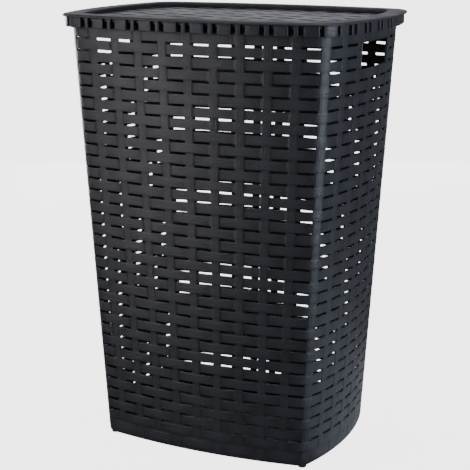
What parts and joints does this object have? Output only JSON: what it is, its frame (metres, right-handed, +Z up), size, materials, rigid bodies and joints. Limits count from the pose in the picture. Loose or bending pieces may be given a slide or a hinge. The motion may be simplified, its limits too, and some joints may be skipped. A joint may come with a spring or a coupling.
{
  "type": "laundry basket",
  "caption": "Tapered rectangular laundry hamper moulded to look like woven rattan, with slotted walls, a toothed rim, hand holes in both sides and a hinged lid.",
  "frame": {"origin": "centre of the footprint on the floor, below the feet", "axes": "+Z up, +X to the right as seen from the front, -Y the front; the lid is hinged along the back at +Y"},
  "size_m": [0.4474, 0.3461, 0.615],
  "materials": {
    "shell": "satin",
    "lid": "satin",
    "hinge_pin": "matte"
  },
  "bodies": {
    "basket": {"base_plate": "shell", "wall_front_left": "shell", "wall_front": "shell", "wall_front_right": "shell", "wall_right_front": "shell", "wall_right": "shell", "wall_right_back": "shell", "wall_back_right": "shell", "wall_back": "shell", "wall_back_left": "shell", "wall_left_back": "shell", "wall_left": "shell", "wall_left_front": "shell", "rim_front": "shell", "rim_right": "shell", "rim_back": "shell", "rim_left": "shell", "rim_corner_front_left": "shell", "rim_corner_front_right": "shell", "rim_corner_back_left": "shell", "rim_corner_back_right": "shell", "foot_front_left": "shell", "foot_front_right": "shell", "foot_back_left": "shell", "foot_back_right": "shell", "hinge_ears_left": "shell", "hinge_ears_right": "shell", "hinge_pin_left": "hinge_pin", "hinge_pin_right": "hinge_pin"},
    "lid": {"lid_frame_front": "lid", "lid_frame_back": "lid", "lid_frame_left": "lid", "lid_frame_right": "lid", "lid_panel": "lid", "lid_knuckle_left": "lid", "lid_knuckle_right": "lid"}
  },
  "joints": [
    {"name": "lid_hinge", "type": "hinge", "parent": "basket", "child": "lid", "pos_m": [0, 0.17131, 0.6045], "axis": [-1, 0, 0], "range_deg": [0, 105]}
  ]
}
